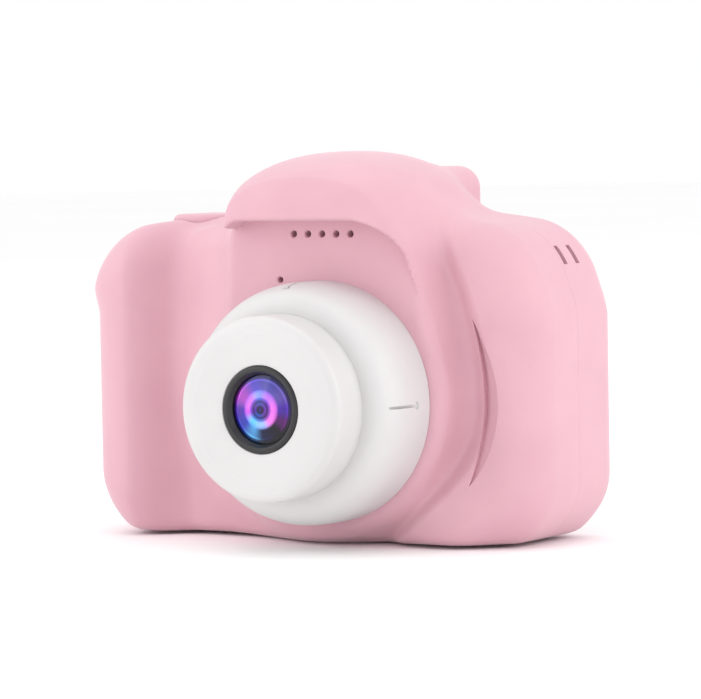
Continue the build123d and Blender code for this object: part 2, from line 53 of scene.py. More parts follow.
DETAIL = 0.42  # grid size of the housing's outer skin, in mm
INNER_DETAIL = 1.2  # grid size of its inner skin

# ---- sizes in mm, from the CAD nodes
base_low, base_high = [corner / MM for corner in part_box("lens_base")]
barrel_low, barrel_high = [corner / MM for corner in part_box("lens_barrel")]
trim_low, trim_high = [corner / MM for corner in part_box("lens_trim_ring")]
front_low, front_high = [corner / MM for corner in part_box("front_shell")]
rear_low, rear_high = [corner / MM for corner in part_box("rear_shell")]
cover_low, cover_high = [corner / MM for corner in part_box("port_cover")]
screen_low, screen_high = [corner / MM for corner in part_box("lcd_window")]
shutter_low, shutter_high = [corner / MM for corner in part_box("shutter_button")]

LENS_X = (base_low.x + base_high.x) / 2
LENS_Z = (base_low.z + base_high.z) / 2
BLOCK_FRONT = base_high.y  # the flat face that the lens stands on
RIM_FRONT = BLOCK_FRONT - 0.3  # the rim round that face
BODY_REAR = 13.0  # flat rear face of the housing
REAR_ROUND = 5.0
BOTTOM = 0.0
TOP = front_high.z
HALF_WIDTH = -rear_low.x
WALL = 2.0
SEAM = 0.012  # half of the gap between the two shells
EYECUP_X = 5.0  # the bump round the viewfinder
EYECUP_Z = 50.35
SHARP_ANGLE = 32.0  # degrees between two faces, above which their edge is sharp
GLASS_RADIUS = 4.95  # area of painted lens reflections inside the black ring


# ---- smooth unions and steps
def step(low, high, value):
    """Rises smoothly from 0 to 1 between two values; falls when low is above high."""
    t = np.clip((value - low) / (high - low), 0.0, 1.0)
    return t * t * (3 - 2 * t)


def round_meet(a, b, radius):
    """The part inside both a and b, with a rounded outer edge."""
    corner = np.hypot(np.maximum(a + radius, 0), np.maximum(b + radius, 0))
    return np.minimum(-radius, np.maximum(a, b)) + corner


def soft_join(a, b, reach):
    """The part inside a or b, with a filled inner corner."""
    h = np.maximum(reach - np.abs(a - b), 0) / reach
    return np.minimum(a, b) - h * h * reach * 0.25


def soft_meet(a, b, reach):
    """The part inside both a and b, with a filled edge."""
    return -soft_join(-a, -b, reach)


# ---- the housing's outer form, in mm
def body(x, y, z):
    """The slab with its two grips: full on the left, one sloping panel on the right."""
    left = 38.7 - 1.0 * (1 - step(33, 38, z))
    left = left + (HALF_WIDTH - 0.1 - left) * step(-9, 0, y)
    right = 38.9 - 1.1 * step(32.5, 38.5, z)
    side = np.abs(x) - np.where(x < 0, left, right)
    top = z - (48 - 0.0062 * np.maximum(np.abs(x) - 15, 0) ** 2)
    outline = round_meet(side, top, 9.5)
    grip = -15.2 + 5.8 * step(-30.5, -21.8, x)
    lower = np.where(z < 21.7, 0.034, 0.0125)
    valley = 28.4 - lower * (z - 21.7) ** 2
    panel = -9.4 - 1.6 * step(8, 22, x) - 2.5 * step(valley - 0.6, valley + 3.6, x) - 0.3 * step(30, 37, x)
    panel = panel - 1.6 * step(15, 3, z) * step(14, 24, x) * step(34, 26, x)
    front = np.where(x < -21.6, grip, panel)
    form = round_meet(outline, front - y, 7.0)
    form = round_meet(form, y - BODY_REAR, REAR_ROUND)
    return round_meet(form, BOTTOM - z, 2.5 + 7.5 * step(24, 37, np.abs(x)))


def lens_block(x, y, z):
    """The raised block under the lens: round below, narrowing to a neck above."""
    across = x - LENS_X
    up = z - LENS_Z
    wide = 20.2 - 0.9 * step(-10, 10, across)
    neck = 14.0 + (wide - 14.0) * np.exp(-(np.maximum(up, 0) / 13.0) ** 2)
    side = np.where(up > 0, (np.abs(across) - neck) * 0.96, np.hypot(across, up) - wide)
    left_slope = 0.5 + 0.6 * step(0, 21, z) + 0.5 * step(21, 41, z)
    right_slope = 0.10 + 0.16 * step(5, 32, z)
    slope = right_slope + (left_slope - right_slope) * step(8, -8, across)
    flank = (side - slope * (y - RIM_FRONT)) / np.sqrt(1 + slope * slope)
    rising = 3.4 * step(33, 46, z) * step(6, 13, across)
    front = BLOCK_FRONT + (RIM_FRONT - BLOCK_FRONT) * step(-10, 8, across) - rising
    form = round_meet(flank, z - 47.0, 4.0)
    return round_meet(form, np.maximum(front - y, y + 8), 2.0 + 0.6 * step(-8, 8, across))


def hump(x, y, z):
    """The viewfinder dome with its flat front over the lens."""
    deep = (y + 5.0) / np.where(y < -5, 20.3, 15.5)
    wide = np.abs(x - 4.6) / 18.5
    high = np.maximum(z - 44, 0) / 13.3
    plan = (wide ** 2.5 + np.abs(deep) ** 2.5) ** 0.4
    form = ((plan ** 2.3 + high ** 2.3) ** (1 / 2.3) - 1) * 14.0
    front = -21.4 - y - 0.16 * (z - 52.4) * (z > 52.4)
    form = round_meet(form, front, 1.6)
    form = round_meet(form, -9.0 - x, 1.2)
    return np.maximum(form, 30 - z)


def lens_recess(x, y, z):
    """The shallow flat seat round the lens, closed above by the hood."""
    across = x - LENS_X
    right = across - (13.7 + 0.187 * np.maximum(47.5 - z, 0))
    underside = 47.5 - 1.3 * step(-5.8, -9.0, x) - 1.0 * step(13.0, 18.5, x)
    form = round_meet(z - underside, right, 4.2)
    form = np.maximum(form, 24.6 - z)
    form = soft_join(form, np.hypot(across, z - LENS_Z) - 18.2, 0.4)
    return np.maximum(form, y - BLOCK_FRONT)


def eyecup(x, y, z):
    """The rounded bump at the back of the hump."""
    form = round_meet(np.abs(x - EYECUP_X) - 10.3, np.abs(z - EYECUP_Z) - 4.35, 3.4)
    return round_meet(form, np.maximum(y - 16, 2 - y), 3.0)


def housing(points):
    """Signed distance, near enough, to the housing's outer skin."""
    x, y, z = points[..., 0], points[..., 1], points[..., 2]
    form = soft_join(body(x, y, z), lens_block(x, y, z), 3.2 + 4.0 * step(16, 3, z))
    form = soft_join(form, hump(x, y, z), 4.0)
    form = soft_meet(form, -lens_recess(x, y, z), 0.7)
    form = soft_join(form, eyecup(x, y, z), 2.5)
    return round_meet(form, BOTTOM - z, 1.6)


def cavity(points):
    """The hollow inside, a wall's thickness in from the skin."""
    return housing(points) + WALL


def gradient(field, points, reach=0.02):
    """Direction in which the field grows fastest at each point."""
    result = np.empty_like(points)
    for axis in range(3):
        offset = np.zeros(3)
        offset[axis] = reach
        result[..., axis] = field(points + offset) - field(points - offset)
    return result / (2 * reach)


# ---- mesh building
def surface_net(field, low, high, cell):
    """Quads of the surface where the field is zero, with one corner in each grid cell it crosses."""
    axes = [np.arange(a, b + cell, cell) for a, b in zip(low, high)]
    value = np.stack([
        field(np.stack(np.meshgrid([x], axes[1], axes[2], indexing="ij"), -1))[0] for x in axes[0]
    ])
    inside = value < 0
    shape = tuple(n - 1 for n in value.shape)
    count = np.zeros(shape, int)
    corners = [(i, j, k) for i in (0, 1) for j in (0, 1) for k in (0, 1)]

    def shifted(array, corner):
        return array[tuple(slice(c, c + n) for c, n in zip(corner, shape))]

    for corner in corners:
        count += shifted(inside, corner)
    active = np.argwhere((count > 0) & (count < 8))
    index = np.full(shape, -1)
    index[tuple(active.T)] = np.arange(len(active))
    total = np.zeros((len(active), 3))
    crossings = np.zeros(len(active))
    for corner in corners:
        for axis in range(3):
            if corner[axis]:
                continue
            other = list(corner)
            other[axis] = 1
            a = value[tuple((active + corner).T)]
            b = value[tuple((active + other).T)]
            crossing = (a < 0) != (b < 0)
            t = np.where(crossing, a / np.where(crossing, a - b, 1), 0)
            place = np.tile(np.array(corner, float), (len(active), 1))
            place[:, axis] = t
            total += place * crossing[:, None]
            crossings += crossing
    origin = np.array([axis[0] for axis in axes])
    points = origin + (active + total / crossings[:, None]) * cell
    for _ in range(4):
        slope = gradient(field, points)
        move = slope * (field(points) / np.maximum((slope ** 2).sum(-1), 1e-6))[:, None]
        length = np.linalg.norm(move, axis=-1, keepdims=True)
        points = points - move * np.minimum(1, 0.5 * cell / np.maximum(length, 1e-9))
    quads = []
    for axis in range(3):
        u, v = (axis + 1) % 3, (axis + 2) % 3
        ahead = [0, 0, 0]
        ahead[axis] = 1
        near = inside[tuple(slice(0, n - c) for n, c in zip(inside.shape, ahead))]
        far = inside[tuple(slice(c, None) for c in ahead)]
        edges = np.argwhere(near != far)
        keep = (edges[:, u] > 0) & (edges[:, u] < shape[u]) & (edges[:, v] > 0) & (edges[:, v] < shape[v])
        edges = edges[keep]
        ring = []
        for du, dv in ((-1, -1), (0, -1), (0, 0), (-1, 0)):
            cell_index = edges.copy()
            cell_index[:, u] += du
            cell_index[:, v] += dv
            ring.append(index[tuple(cell_index.T)])
        quad = np.stack(ring, -1)
        outwards = near[tuple(edges.T)]
        quads.append(np.where(outwards[:, None], quad, quad[:, ::-1]))
    return points, np.concatenate(quads)


def new_mesh(name, points, faces):
    """An object from points in mm."""
    mesh = bpy.data.meshes.new(name)
    mesh.from_pydata((np.asarray(points, float) * MM).tolist(), [], [list(map(int, f)) for f in faces])
    mesh.validate()
    piece = bpy.data.objects.new(name, mesh)
    bpy.context.scene.collection.objects.link(piece)
    return piece


def loft(name, rings, closed=False):
    """A skin over rings of equal point count, capped at both ends or closed into a loop."""
    count = len(rings[0])
    points = np.concatenate([np.asarray(ring, float) for ring in rings])
    faces = []
    spans = len(rings) if closed else len(rings) - 1
    for i in range(spans):
        a = i * count
        b = (i + 1) % len(rings) * count
        for j in range(count):
            k = (j + 1) % count
            faces.append((a + j, a + k, b + k, b + j))
    if not closed:
        faces.append(tuple(range(count - 1, -1, -1)))
        faces.append(tuple((len(rings) - 1) * count + j for j in range(count)))
    piece = new_mesh(name, points, faces)
    outward(piece)
    return piece


def outward(piece):
    """Turns every face to point out of the solid."""
    mesh = bmesh.new()
    mesh.from_mesh(piece.data)
    bmesh.ops.recalc_face_normals(mesh, faces=mesh.faces)
    mesh.to_mesh(piece.data)
    mesh.free()


def rounded_profile(points, pieces=5):
    """A closed outline from (a, b, radius) corners, each rounded to its radius."""
    result = []
    count = len(points)
    for i, (a, b, radius) in enumerate(points):
        here = np.array([a, b])
        before = np.array(points[i - 1][:2]) - here
        after = np.array(points[(i + 1) % count][:2]) - here
        if radius == 0:
            result.append(here)
            continue
        before_length = np.linalg.norm(before)
        after_length = np.linalg.norm(after)
        before /= before_length
        after /= after_length
        half = math.acos(np.clip(before @ after, -1, 1)) / 2
        reach = min(radius / math.tan(half), 0.49 * before_length, 0.49 * after_length)
        radius = reach * math.tan(half)
        middle = before + after
        centre = here + middle / np.linalg.norm(middle) * radius / math.sin(half)
        start = here + before * reach - centre
        end = here + after * reach - centre
        turn = math.atan2(start[0] * end[1] - start[1] * end[0], start @ end)
        for k in range(pieces + 1):
            angle = turn * k / pieces
            c, s = math.cos(angle), math.sin(angle)
            result.append(centre + np.array([start[0] * c - start[1] * s, start[0] * s + start[1] * c]))
    return result


def lathe(name, profile, centre=None, axis="y", segments=144):
    """A turned piece. The profile is (radius, place along the axis) and the axis goes through centre."""
    centre = centre or (LENS_X, LENS_Z)
    rings = []
    for i in range(segments):
        angle = 2 * math.pi * i / segments
        c, s = math.cos(angle), math.sin(angle)
        if axis == "y":
            ring = [(centre[0] + r * c, along, centre[1] + r * s) for r, along in profile]
        else:
            ring = [(centre[0] + r * c, centre[1] + r * s, along) for r, along in profile]
        rings.append(ring)
    piece = loft(name, rings, closed=True)
    merge(piece)
    return piece


def merge(piece, distance=0.002):
    """Joins points closer than distance in mm, such as those on a lathe's axis."""
    mesh = bmesh.new()
    mesh.from_mesh(piece.data)
    bmesh.ops.remove_doubles(mesh, verts=mesh.verts, dist=distance * MM)
    bmesh.ops.dissolve_degenerate(mesh, edges=mesh.edges, dist=distance * MM * 0.1)
    bmesh.ops.recalc_face_normals(mesh, faces=mesh.faces)
    mesh.to_mesh(piece.data)
    mesh.free()


def circle(x, z, radius, count=64):
    """Outline of a circle about (x, z)."""
    angles = np.arange(count) * 2 * math.pi / count
    return np.stack([x + radius * np.cos(angles), z + radius * np.sin(angles)], -1)


def rounded_rectangle(x, z, width, height, radius, per_corner=10):
    """Outline of a rounded rectangle about (x, z)."""
    result = []
    for index in range(4):
        start = index * math.pi / 2
        side_x = 1 if index in (0, 3) else -1
        side_z = 1 if index in (0, 1) else -1
        corner = (x + side_x * (width / 2 - radius), z + side_z * (height / 2 - radius))
        for k in range(per_corner + 1):
            angle = start + math.pi / 2 * k / per_corner
            result.append((corner[0] + radius * math.cos(angle), corner[1] + radius * math.sin(angle)))
    return np.array(result)


def inset_circle(x, z, radius, count):
    """For stack: a circle that shrinks by the inset."""
    def outline(inset):
        return circle(x, z, radius - inset, count)
    return outline


def inset_rectangle(x, z, width, height, radius, per_corner=10):
    """For stack: a rounded rectangle that shrinks by the inset on every side."""
    def outline(inset):
        return rounded_rectangle(x, z, width - 2 * inset, height - 2 * inset, radius - inset, per_corner)
    return outline


def same_outline(points):
    """For stack: the same points at every level."""
    def outline(inset):
        return np.array(points)
    return outline


def stack(name, outline, levels, axis="y"):
    """A prism whose outline is outline(inset) at each (inset, place along the axis) level."""
    rings = []
    for inset, along in levels:
        flat = outline(inset)
        if axis == "y":
            ring = [(a, along, b) for a, b in flat]
        elif axis == "z":
            ring = [(a, b, along) for a, b in flat]
        else:
            ring = [(along, a, b) for a, b in flat]
        rings.append(ring)
    return loft(name, rings)


def boolean(piece, cutter, operation="DIFFERENCE"):
    """Cuts or joins with another mesh, which is used up."""
    modifier = piece.modifiers.new("cut", "BOOLEAN")
    modifier.operation = operation
    modifier.solver = "MANIFOLD"
    modifier.object = cutter
    depsgraph = bpy.context.evaluated_depsgraph_get()
    result = bpy.data.meshes.new_from_object(piece.evaluated_get(depsgraph))
    piece.modifiers.clear()
    old = piece.data
    piece.data = result
    bpy.data.meshes.remove(old)
    bpy.data.objects.remove(cutter)


def block(name, x, y, z):
    """A square-edged cutter between two limits on each axis."""
    corners = [(x[0], z[0]), (x[1], z[0]), (x[1], z[1]), (x[0], z[1])]
    return stack(name, same_outline(corners), [(0, y[0]), (0, y[1])])


def smooth(piece, field=None):
    """Smooth shading with sharp edges; a field gives the skin its exact normals."""
    mesh = piece.data
    mesh.polygons.foreach_set("use_smooth", [True] * len(mesh.polygons))
    shape = bmesh.new()
    shape.from_mesh(mesh)
    limit = math.radians(SHARP_ANGLE)
    for edge in shape.edges:
        edge.smooth = len(edge.link_faces) == 2 and edge.calc_face_angle(0.0) < limit
    shape.to_mesh(mesh)
    shape.free()
    if field is None:
        return
    points = np.empty(len(mesh.vertices) * 3)
    mesh.vertices.foreach_get("co", points)
    points = points.reshape(-1, 3) / MM
    slope = gradient(field, points)
    slope /= np.maximum(np.linalg.norm(slope, axis=-1, keepdims=True), 1e-9)
    on_skin = np.abs(field(points)) < 0.02
    corner_vertex = np.empty(len(mesh.loops), int)
    mesh.loops.foreach_get("vertex_index", corner_vertex)
    face_normal = np.empty(len(mesh.polygons) * 3)
    mesh.polygons.foreach_get("normal", face_normal)
    totals = np.empty(len(mesh.polygons), int)
    mesh.polygons.foreach_get("loop_total", totals)
    own = np.repeat(face_normal.reshape(-1, 3), totals, axis=0)
    normals = slope[corner_vertex]
    agrees = ((own * normals).sum(-1) > math.cos(limit)) & on_skin[corner_vertex]
    mesh.normals_split_custom_set((normals * agrees[:, None]).tolist())


# ---- materials
def colour(red, green, blue):
    """A colour given as 0-255 screen values."""
    def channel(value):
        value /= 255
        return value / 12.92 if value <= 0.04045 else ((value + 0.055) / 1.055) ** 2.4
    return (channel(red), channel(green), channel(blue), 1.0)


def wear(tree, texture, smoothest, roughest, strength, height):
    """Uneven roughness, and relief of a height in mm, from a noise texture."""
    shader = tree.nodes["Principled BSDF"]
    polish = tree.nodes.new("ShaderNodeMapRange")
    polish.inputs["To Min"].default_value = smoothest
    polish.inputs["To Max"].default_value = roughest
    tree.links.new(texture.outputs["Fac"], polish.inputs["Value"])
    tree.links.new(polish.outputs["Result"], shader.inputs["Roughness"])
    relief = tree.nodes.new("ShaderNodeBump")
    relief.inputs["Strength"].default_value = strength
    relief.inputs["Distance"].default_value = height * MM
    tree.links.new(texture.outputs["Fac"], relief.inputs["Height"])
    tree.links.new(relief.outputs["Normal"], shader.inputs["Normal"])


def material(name, light, dark, roughness, spread, grain, bump, patch=90.0, **sockets):
    """Moulded plastic or metal: two shades in soft patches, uneven roughness and a fine grain.

    grain is the size of the texture in mm, bump its height in mm, patch the patches per metre."""
    result = bpy.data.materials.new(name)
    result.use_nodes = True
    nodes, links = result.node_tree.nodes, result.node_tree.links
    shader = nodes["Principled BSDF"]
    place = nodes.new("ShaderNodeTexCoord")
    patches = nodes.new("ShaderNodeTexNoise")
    patches.inputs["Scale"].default_value = patch
    patches.inputs["Detail"].default_value = 3.0
    links.new(place.outputs["Object"], patches.inputs["Vector"])
    shades = nodes.new("ShaderNodeMix")
    shades.data_type = "RGBA"
    shades.inputs["A"].default_value = dark
    shades.inputs["B"].default_value = light
    spread_out = nodes.new("ShaderNodeMapRange")
    spread_out.inputs["From Min"].default_value = 0.35
    spread_out.inputs["From Max"].default_value = 0.65
    links.new(patches.outputs["Fac"], spread_out.inputs["Value"])
    links.new(spread_out.outputs["Result"], shades.inputs["Factor"])
    links.new(shades.outputs["Result"], shader.inputs["Base Color"])
    fine = nodes.new("ShaderNodeTexNoise")
    fine.inputs["Scale"].default_value = 1 / (grain * MM)
    fine.inputs["Detail"].default_value = 2.0
    links.new(place.outputs["Object"], fine.inputs["Vector"])
    wear(result.node_tree, fine, roughness - spread, roughness + spread, 0.6, bump)
    for socket, value in sockets.items():
        shader.inputs[socket.replace("_", " ")].default_value = value
    return result


PINK = material("soft_pink", colour(215, 166, 178), colour(211, 161, 174), 0.56, 0.05, 0.35, 0.012,
                Sheen_Weight=0.25, Sheen_Roughness=0.5)
COVER = material("soft_pink_rubber", colour(214, 164, 176), colour(210, 159, 172), 0.66, 0.05, 0.30, 0.015,
                 Sheen_Weight=0.3, Sheen_Roughness=0.5)
WHITE = material("satin_white", colour(211, 209, 209), colour(207, 205, 205), 0.42, 0.05, 0.45, 0.006)
KEY_WHITE = material("white_key", colour(238, 237, 236), colour(232, 231, 230), 0.34, 0.04, 0.4, 0.005)
SYMBOL = material("key_symbol", colour(216, 128, 152), colour(208, 120, 145), 0.5, 0.05, 0.3, 0.006)
BLACK = material("black_ring", colour(34, 33, 36), colour(28, 27, 30), 0.30, 0.05, 0.3, 0.006)
DARK = material("black_plastic", colour(30, 30, 32), colour(24, 24, 26), 0.55, 0.06, 0.3, 0.01)
SCREW = material("steel_screw", colour(176, 176, 180), colour(150, 150, 155), 0.32, 0.1, 0.25, 0.01,
                 Metallic=1.0)
BOARD = material("circuit_board", colour(28, 96, 58), colour(22, 84, 50), 0.45, 0.08, 0.5, 0.02, patch=400.0)
RIBBON = material("ribbon", colour(190, 120, 45), colour(170, 100, 38), 0.4, 0.06, 0.6, 0.01)
FOIL = material("battery_foil", colour(186, 190, 196), colour(168, 172, 178), 0.35, 0.1, 1.2, 0.06,
                Metallic=0.8)
LEAD = material("lead_cover", colour(170, 30, 32), colour(150, 24, 28), 0.5, 0.06, 0.4, 0.01)
NYLON = material("white_plastic", colour(228, 226, 218), colour(218, 216, 208), 0.5, 0.06, 0.4, 0.01)
SWITCH = material("switch_plastic", colour(60, 60, 64), colour(48, 48, 52), 0.5, 0.06, 0.3, 0.01)
SHELL_METAL = material("socket_metal", colour(200, 200, 204), colour(178, 178, 184), 0.28, 0.08, 0.4, 0.01,
                       Metallic=1.0)
RUBBER = material("rubber", colour(52, 52, 54), colour(44, 44, 46), 0.75, 0.06, 0.4, 0.015)
LIGHT = material("light_plastic", colour(214, 226, 232), colour(200, 214, 222), 0.18, 0.04, 0.4, 0.004,
                 Transmission_Weight=0.5)
PANEL = material("screen_panel", colour(16, 18, 22), colour(12, 13, 17), 0.16, 0.03, 0.5, 0.002,
                 patch=60.0)
GLASS_COVER = material("screen_cover", colour(13, 14, 17), colour(9, 10, 12), 0.12, 0.03, 1.5, 0.001,
                       patch=40.0, Specular_IOR_Level=0.35)


def maths(tree, operation, a, b=None):
    """Adds a Math node and returns its output; a and b are numbers or sockets."""
    node = tree.nodes.new("ShaderNodeMath")
    node.operation = operation
    for socket, value in zip(node.inputs, (a, b)):
        if value is None:
            continue
        if isinstance(value, (int, float)):
            socket.default_value = value
        else:
            tree.links.new(value, socket)
    return node.outputs["Value"]


def screen_finish(name, centre, half, corner):
    """The screen's cover: a glossy black border round a slightly lighter, blue-grey display area."""
    result = material(name, colour(9, 9, 11), colour(6, 6, 8), 0.11, 0.03, 1.5, 0.001, patch=40.0,
                      Specular_IOR_Level=0.35)
    tree = result.node_tree
    nodes, links = tree.nodes, tree.links
    shader = nodes["Principled BSDF"]
    place = nodes.new("ShaderNodeTexCoord")
    split = nodes.new("ShaderNodeSeparateXYZ")
    links.new(place.outputs["Object"], split.inputs["Vector"])
    excess = []
    for axis, middle, reach in (("X", centre[0], half[0]), ("Z", centre[1], half[1])):
        away = maths(tree, "ABSOLUTE", maths(tree, "SUBTRACT", split.outputs[axis], middle * MM))
        beyond = maths(tree, "MAXIMUM", maths(tree, "SUBTRACT", away, (reach - corner) * MM), 0.0)
        excess.append(maths(tree, "MULTIPLY", beyond, beyond))
    distance = maths(tree, "SQRT", maths(tree, "ADD", *excess))
    edge = nodes.new("ShaderNodeMapRange")
    edge.inputs["From Min"].default_value = (corner + 0.06) * MM
    edge.inputs["From Max"].default_value = (corner - 0.06) * MM
    links.new(distance, edge.inputs["Value"])
    base = shader.inputs["Base Color"].links[0].from_socket
    display = nodes.new("ShaderNodeMix")
    display.data_type = "RGBA"
    display.inputs["B"].default_value = colour(30, 33, 41)
    links.new(edge.outputs["Result"], display.inputs["Factor"])
    links.new(base, display.inputs["A"])
    links.new(display.outputs["Result"], shader.inputs["Base Color"])
    return result


INNER_GLASS = material("rear_glass", colour(190, 205, 230), colour(170, 185, 215), 0.06, 0.02, 0.6, 0.001,
                       Transmission_Weight=0.9)


def painted_reflection_lens(name):
    """An opaque stand-in for a coated lens, with its light painted on: painted reflections in violet, magenta
    and blue, painted highlight rings, painted shade below right, a small dark pupil and a faint painted glow.
    """
    result = bpy.data.materials.new(name)
    result.use_nodes = True
    tree = result.node_tree
    nodes, links = tree.nodes, tree.links
    shader = nodes["Principled BSDF"]
    place = nodes.new("ShaderNodeTexCoord")
    shift = nodes.new("ShaderNodeMapping")
    shift.inputs["Location"].default_value = (-LENS_X * MM, 0, -LENS_Z * MM)
    links.new(place.outputs["Object"], shift.inputs["Vector"])
    split = nodes.new("ShaderNodeSeparateXYZ")
    links.new(shift.outputs["Vector"], split.inputs["Vector"])
    across, up = split.outputs["X"], split.outputs["Z"]
    squared = maths(tree, "ADD", maths(tree, "MULTIPLY", across, across), maths(tree, "MULTIPLY", up, up))
    radius = maths(tree, "DIVIDE", maths(tree, "SQRT", squared), GLASS_RADIUS * MM)
    angle = maths(tree, "DIVIDE", maths(tree, "ARCTAN2", up, across), 2 * math.pi)
    around = maths(tree, "FRACT", maths(tree, "ADD", angle, 1.0))

    def ramp(value, stops):
        node = nodes.new("ShaderNodeValToRGB")
        node.color_ramp.interpolation = "EASE"
        elements = node.color_ramp.elements
        while len(elements) > 1:
            elements.remove(elements[-1])
        elements[0].position, elements[0].color = stops[0]
        for position, shade in stops[1:]:
            element = elements.new(position)
            element.color = shade
        links.new(value, node.inputs["Fac"])
        return node.outputs["Color"]

    def blend(kind, factor, a, b):
        node = nodes.new("ShaderNodeMix")
        node.data_type = "RGBA"
        node.blend_type = kind
        if isinstance(factor, (int, float)):
            node.inputs["Factor"].default_value = factor
        else:
            links.new(factor, node.inputs["Factor"])
        links.new(a, node.inputs["A"])
        links.new(b, node.inputs["B"])
        return node.outputs["Result"]

    violet, magenta = colour(96, 48, 190), colour(214, 70, 222)
    blue, cyan = colour(58, 70, 205), colour(96, 190, 246)
    navy, painted_shade_tone = colour(18, 20, 74), colour(10, 9, 26)
    plum = colour(110, 20, 120)
    # Painted reflections round the lens: greyish violet above right, magenta above left, blue and cyan below
    # left, and painted shade from navy to near black below right.
    outer = ramp(around, [
        (0.0, violet), (0.08, colour(120, 100, 190)), (0.19, colour(110, 104, 200)),
        (0.30, colour(96, 76, 214)), (0.42, magenta), (0.50, violet), (0.60, blue), (0.68, cyan),
        (0.76, navy), (0.86, painted_shade_tone), (0.93, plum), (1.0, violet),
    ])
    inner = ramp(around, [
        (0.0, colour(240, 120, 230)), (0.16, colour(190, 120, 240)), (0.27, colour(130, 150, 250)),
        (0.42, colour(220, 110, 240)), (0.52, colour(200, 90, 235)), (0.64, cyan),
        (0.76, colour(150, 190, 250)), (0.88, colour(240, 120, 220)), (1.0, colour(240, 120, 230)),
    ])
    shade = blend("MIX", ramp(radius, [
        (0.0, (1, 1, 1, 1)), (0.50, (1, 1, 1, 1)), (0.60, (0, 0, 0, 1)), (1.0, (0, 0, 0, 1)),
    ]), outer, inner)
    # Rings standing for the inner lens parts, with white painted highlight rings among them.
    rings = ramp(radius, [
        (0.0, colour(70, 62, 120)), (0.09, colour(30, 28, 66)), (0.17, colour(104, 104, 172)),
        (0.24, colour(60, 60, 112)), (0.31, colour(150, 155, 205)), (0.38, (1, 1, 1, 1)),
        (0.45, (1, 1, 1, 1)), (0.52, colour(225, 225, 238)), (0.62, colour(196, 196, 208)),
        (0.80, colour(190, 190, 204)), (0.86, colour(250, 250, 255)), (0.90, colour(110, 110, 130)),
        (1.0, colour(40, 40, 60)),
    ])
    shade = blend("MULTIPLY", 1.0, shade, rings)
    fans = nodes.new("ShaderNodeTexNoise")
    fans.inputs["Scale"].default_value = 420.0
    links.new(place.outputs["Object"], fans.inputs["Vector"])
    mottle = ramp(fans.outputs["Fac"], [(0.3, colour(225, 225, 235)), (0.7, (1, 1, 1, 1))])
    shade = blend("MULTIPLY", 1.0, shade, mottle)
    links.new(shade, shader.inputs["Base Color"])
    # A faint painted glow: the lens emits light although it is no lamp.
    links.new(shade, shader.inputs["Emission Color"])
    shader.inputs["Emission Strength"].default_value = 0.15
    shader.inputs["Specular IOR Level"].default_value = 0.3
    wear(tree, fans, 0.05, 0.12, 0.1, 0.004)
    shader.inputs["Coat Weight"].default_value = 0.25
    shader.inputs["Coat Roughness"].default_value = 0.03
    return result


PAINTED_LENS_LOOK = painted_reflection_lens("lens_painted_reflections")

# Only the hidden CAD window wears this; the piece that stands for it wears the painted lens reflections and
# glow.
WINDOW_GLASS = material("clear_window", colour(250, 250, 255), colour(240, 242, 252), 0.03, 0.01, 0.8, 0.0005,
                        Transmission_Weight=1.0, IOR=1.12)

SLOT_MATERIALS = {
    "pink_housing": PINK, "soft_cover": COVER, "white_lens": WHITE, "black_trim": BLACK,
    "clear_window": WINDOW_GLASS, "optical_glass": INNER_GLASS, "white_keys": KEY_WHITE,
    "screen_cover": GLASS_COVER, "screen_panel": PANEL, "black_plastic": DARK, "circuit_board": BOARD,
    "ribbon": RIBBON, "battery_foil": FOIL, "lead_cover": LEAD, "white_plastic": NYLON,
    "switch_plastic": SWITCH, "steel_screw": SCREW, "socket_metal": SHELL_METAL, "rubber": RUBBER,
    "light_plastic": LIGHT,
}


def dress(piece, finish):
    """Gives a piece one material."""
    piece.data.materials.clear()
    piece.data.materials.append(finish)


def put(piece, body_name, slot, finish, *nodes, field=None):
    """Finishes a piece: shading, material, the body it rides on and the CAD nodes it stands for; slot is not
    used.
    """
    smooth(piece, field)
    dress(piece, finish)
    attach(piece, body_name)
    if nodes:
        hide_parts(*nodes)


# ---- the two shells
def housing_blank():
    """The whole housing as a hollow solid."""
    margin = 1.5
    low = (-HALF_WIDTH - margin, front_low.y - margin, BOTTOM - margin)
    high = (HALF_WIDTH + margin, rear_high.y + margin, TOP + margin)
    points, quads = surface_net(housing, low, high, DETAIL)
    outer = new_mesh("housing_outer", points, quads)
    points, quads = surface_net(cavity, low, high, INNER_DETAIL)
    inner = new_mesh("housing_inner", points, quads)
    boolean(outer, inner)
    return outer


def hole(x, z, radius, y, mouth=0.0, mouth_y=None, count=48):
    """A round cutter along Y between two places.

    With a mouth, it ends in a flare at mouth_y instead, on the side that y[1] is on."""
    if mouth:
        out = mouth if y[1] > y[0] else -mouth
        levels = [(0, y[0]), (0, mouth_y - out), (-2 * mouth, mouth_y + out)]
    else:
        levels = [(0, y[0]), (0, y[1])]
    return stack("hole", inset_circle(x, z, radius, count), levels)


KEYS = {}
for key_name in ("up_key", "down_key", "left_key", "right_key", "ok_key", "menu_key", "power_key"):
    low, high = [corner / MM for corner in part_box(key_name)]
    KEYS[key_name] = ((low.x + high.x) / 2, (low.z + high.z) / 2, (high.x - low.x) / 2 - 0.5)

